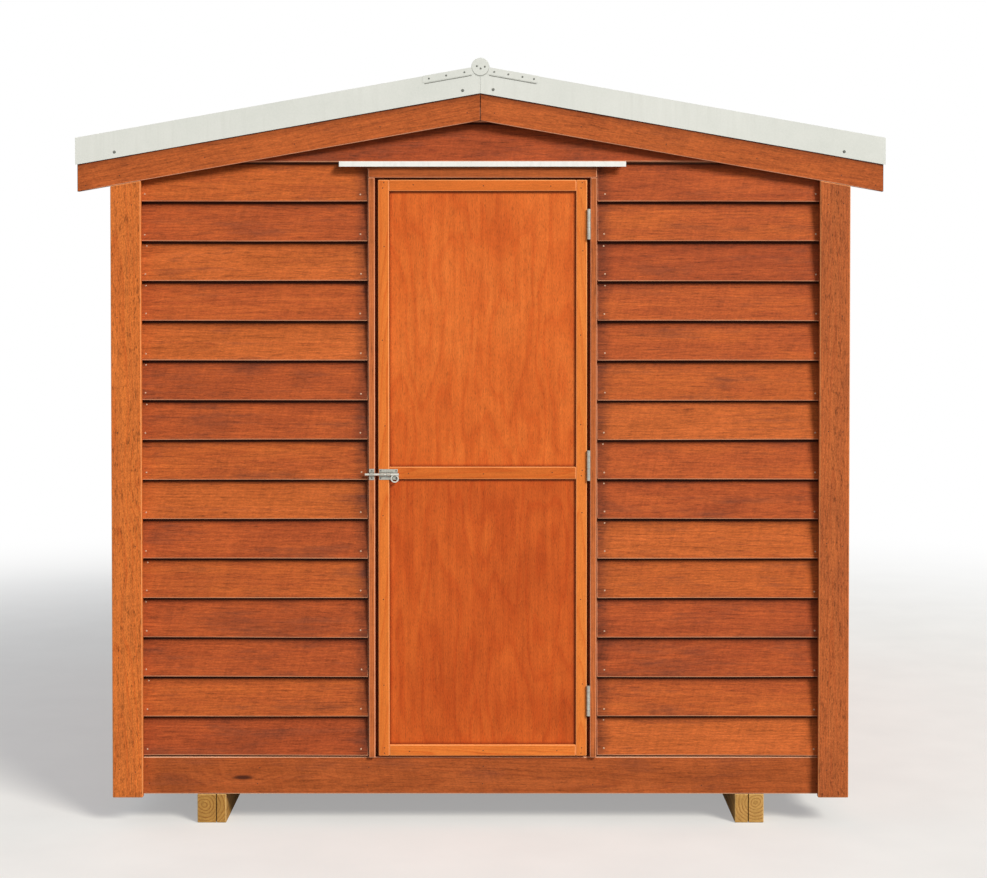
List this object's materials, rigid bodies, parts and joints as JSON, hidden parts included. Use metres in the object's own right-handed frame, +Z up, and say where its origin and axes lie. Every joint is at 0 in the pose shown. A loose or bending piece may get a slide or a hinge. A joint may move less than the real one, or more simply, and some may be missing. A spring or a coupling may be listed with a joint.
{
  "type": "garden shed",
  "caption": "Small gabled garden shed on two timber skids, with lapped weatherboards, a ribbed steel roof and a framed ply door with butt hinges and a pad bolt.",
  "frame": {"origin": "on the ground, under the middle of the shed", "axes": "+X to the right as someone faces the door, +Y from the door wall to the back wall, +Z up"},
  "size_m": [2.664, 3.0036, 2.5294],
  "materials": {
    "cladding_wood": "oiled, red brown, sawn",
    "trim_wood": "oiled, red brown",
    "door_wood": "oiled, orange",
    "door_ply": "oiled plywood",
    "bare_pine": "bare sawn pine",
    "floor_ply": "bare plywood",
    "roof_steel": "zinc coated, satin",
    "pale_flashing": "pale coated, satin",
    "zinc_hardware": "bright zinc plate"
  },
  "bodies": {
    "shed": {"back_wall_plates": "bare_pine", "back_wall_studs": "bare_pine", "barge_boards_back": "trim_wood", "barge_boards_front": "trim_wood", "barge_flashings": "pale_flashing", "base_board_front": "trim_wood", "base_boards": "trim_wood", "bolt_keeper": "zinc_hardware", "cladding_back": "cladding_wood", "cladding_front_gable": "cladding_wood", "cladding_front_left": "cladding_wood", "cladding_front_right": "cladding_wood", "cladding_left": "cladding_wood", "cladding_right": "cladding_wood", "corner_boards_back": "trim_wood", "corner_boards_front": "trim_wood", "corner_boards_sides": "trim_wood", "door_head": "trim_wood", "door_head_flashing": "pale_flashing", "door_jamb_left": "trim_wood", "door_jamb_right": "trim_wood", "door_stops": "trim_wood", "fascia_boards": "trim_wood", "floor_joists": "bare_pine", "floor_sheet": "floor_ply", "front_wall_plates": "bare_pine", "front_wall_studs": "bare_pine", "hinge_leaves_frame": "zinc_hardware", "left_wall_plates": "bare_pine", "left_wall_studs": "bare_pine", "purlins": "bare_pine", "rafters": "bare_pine", "ridge_board": "bare_pine", "ridge_cap": "pale_flashing", "right_wall_plates": "bare_pine", "right_wall_studs": "bare_pine", "roof_sheet_left": "roof_steel", "roof_sheet_right": "roof_steel", "skids": "bare_pine"},
    "door": {"door_stiles": "door_wood", "door_rails": "door_wood", "door_panels": "door_ply", "hinge_leaves_door": "zinc_hardware", "bolt_base": "zinc_hardware"},
    "bolt": {"bolt_rod": "zinc_hardware"}
  },
  "joints": [
    {"name": "door_hinge", "type": "hinge", "parent": "shed", "child": "door", "pos_m": [0.3565, -1.489, 1.198], "axis": [0, 0, 1], "range_deg": [0, 165]},
    {"name": "bolt_slide", "type": "slide", "parent": "door", "child": "bolt", "axis": [1, 0, 0], "range_m": [0, 0.045]}
  ]
}
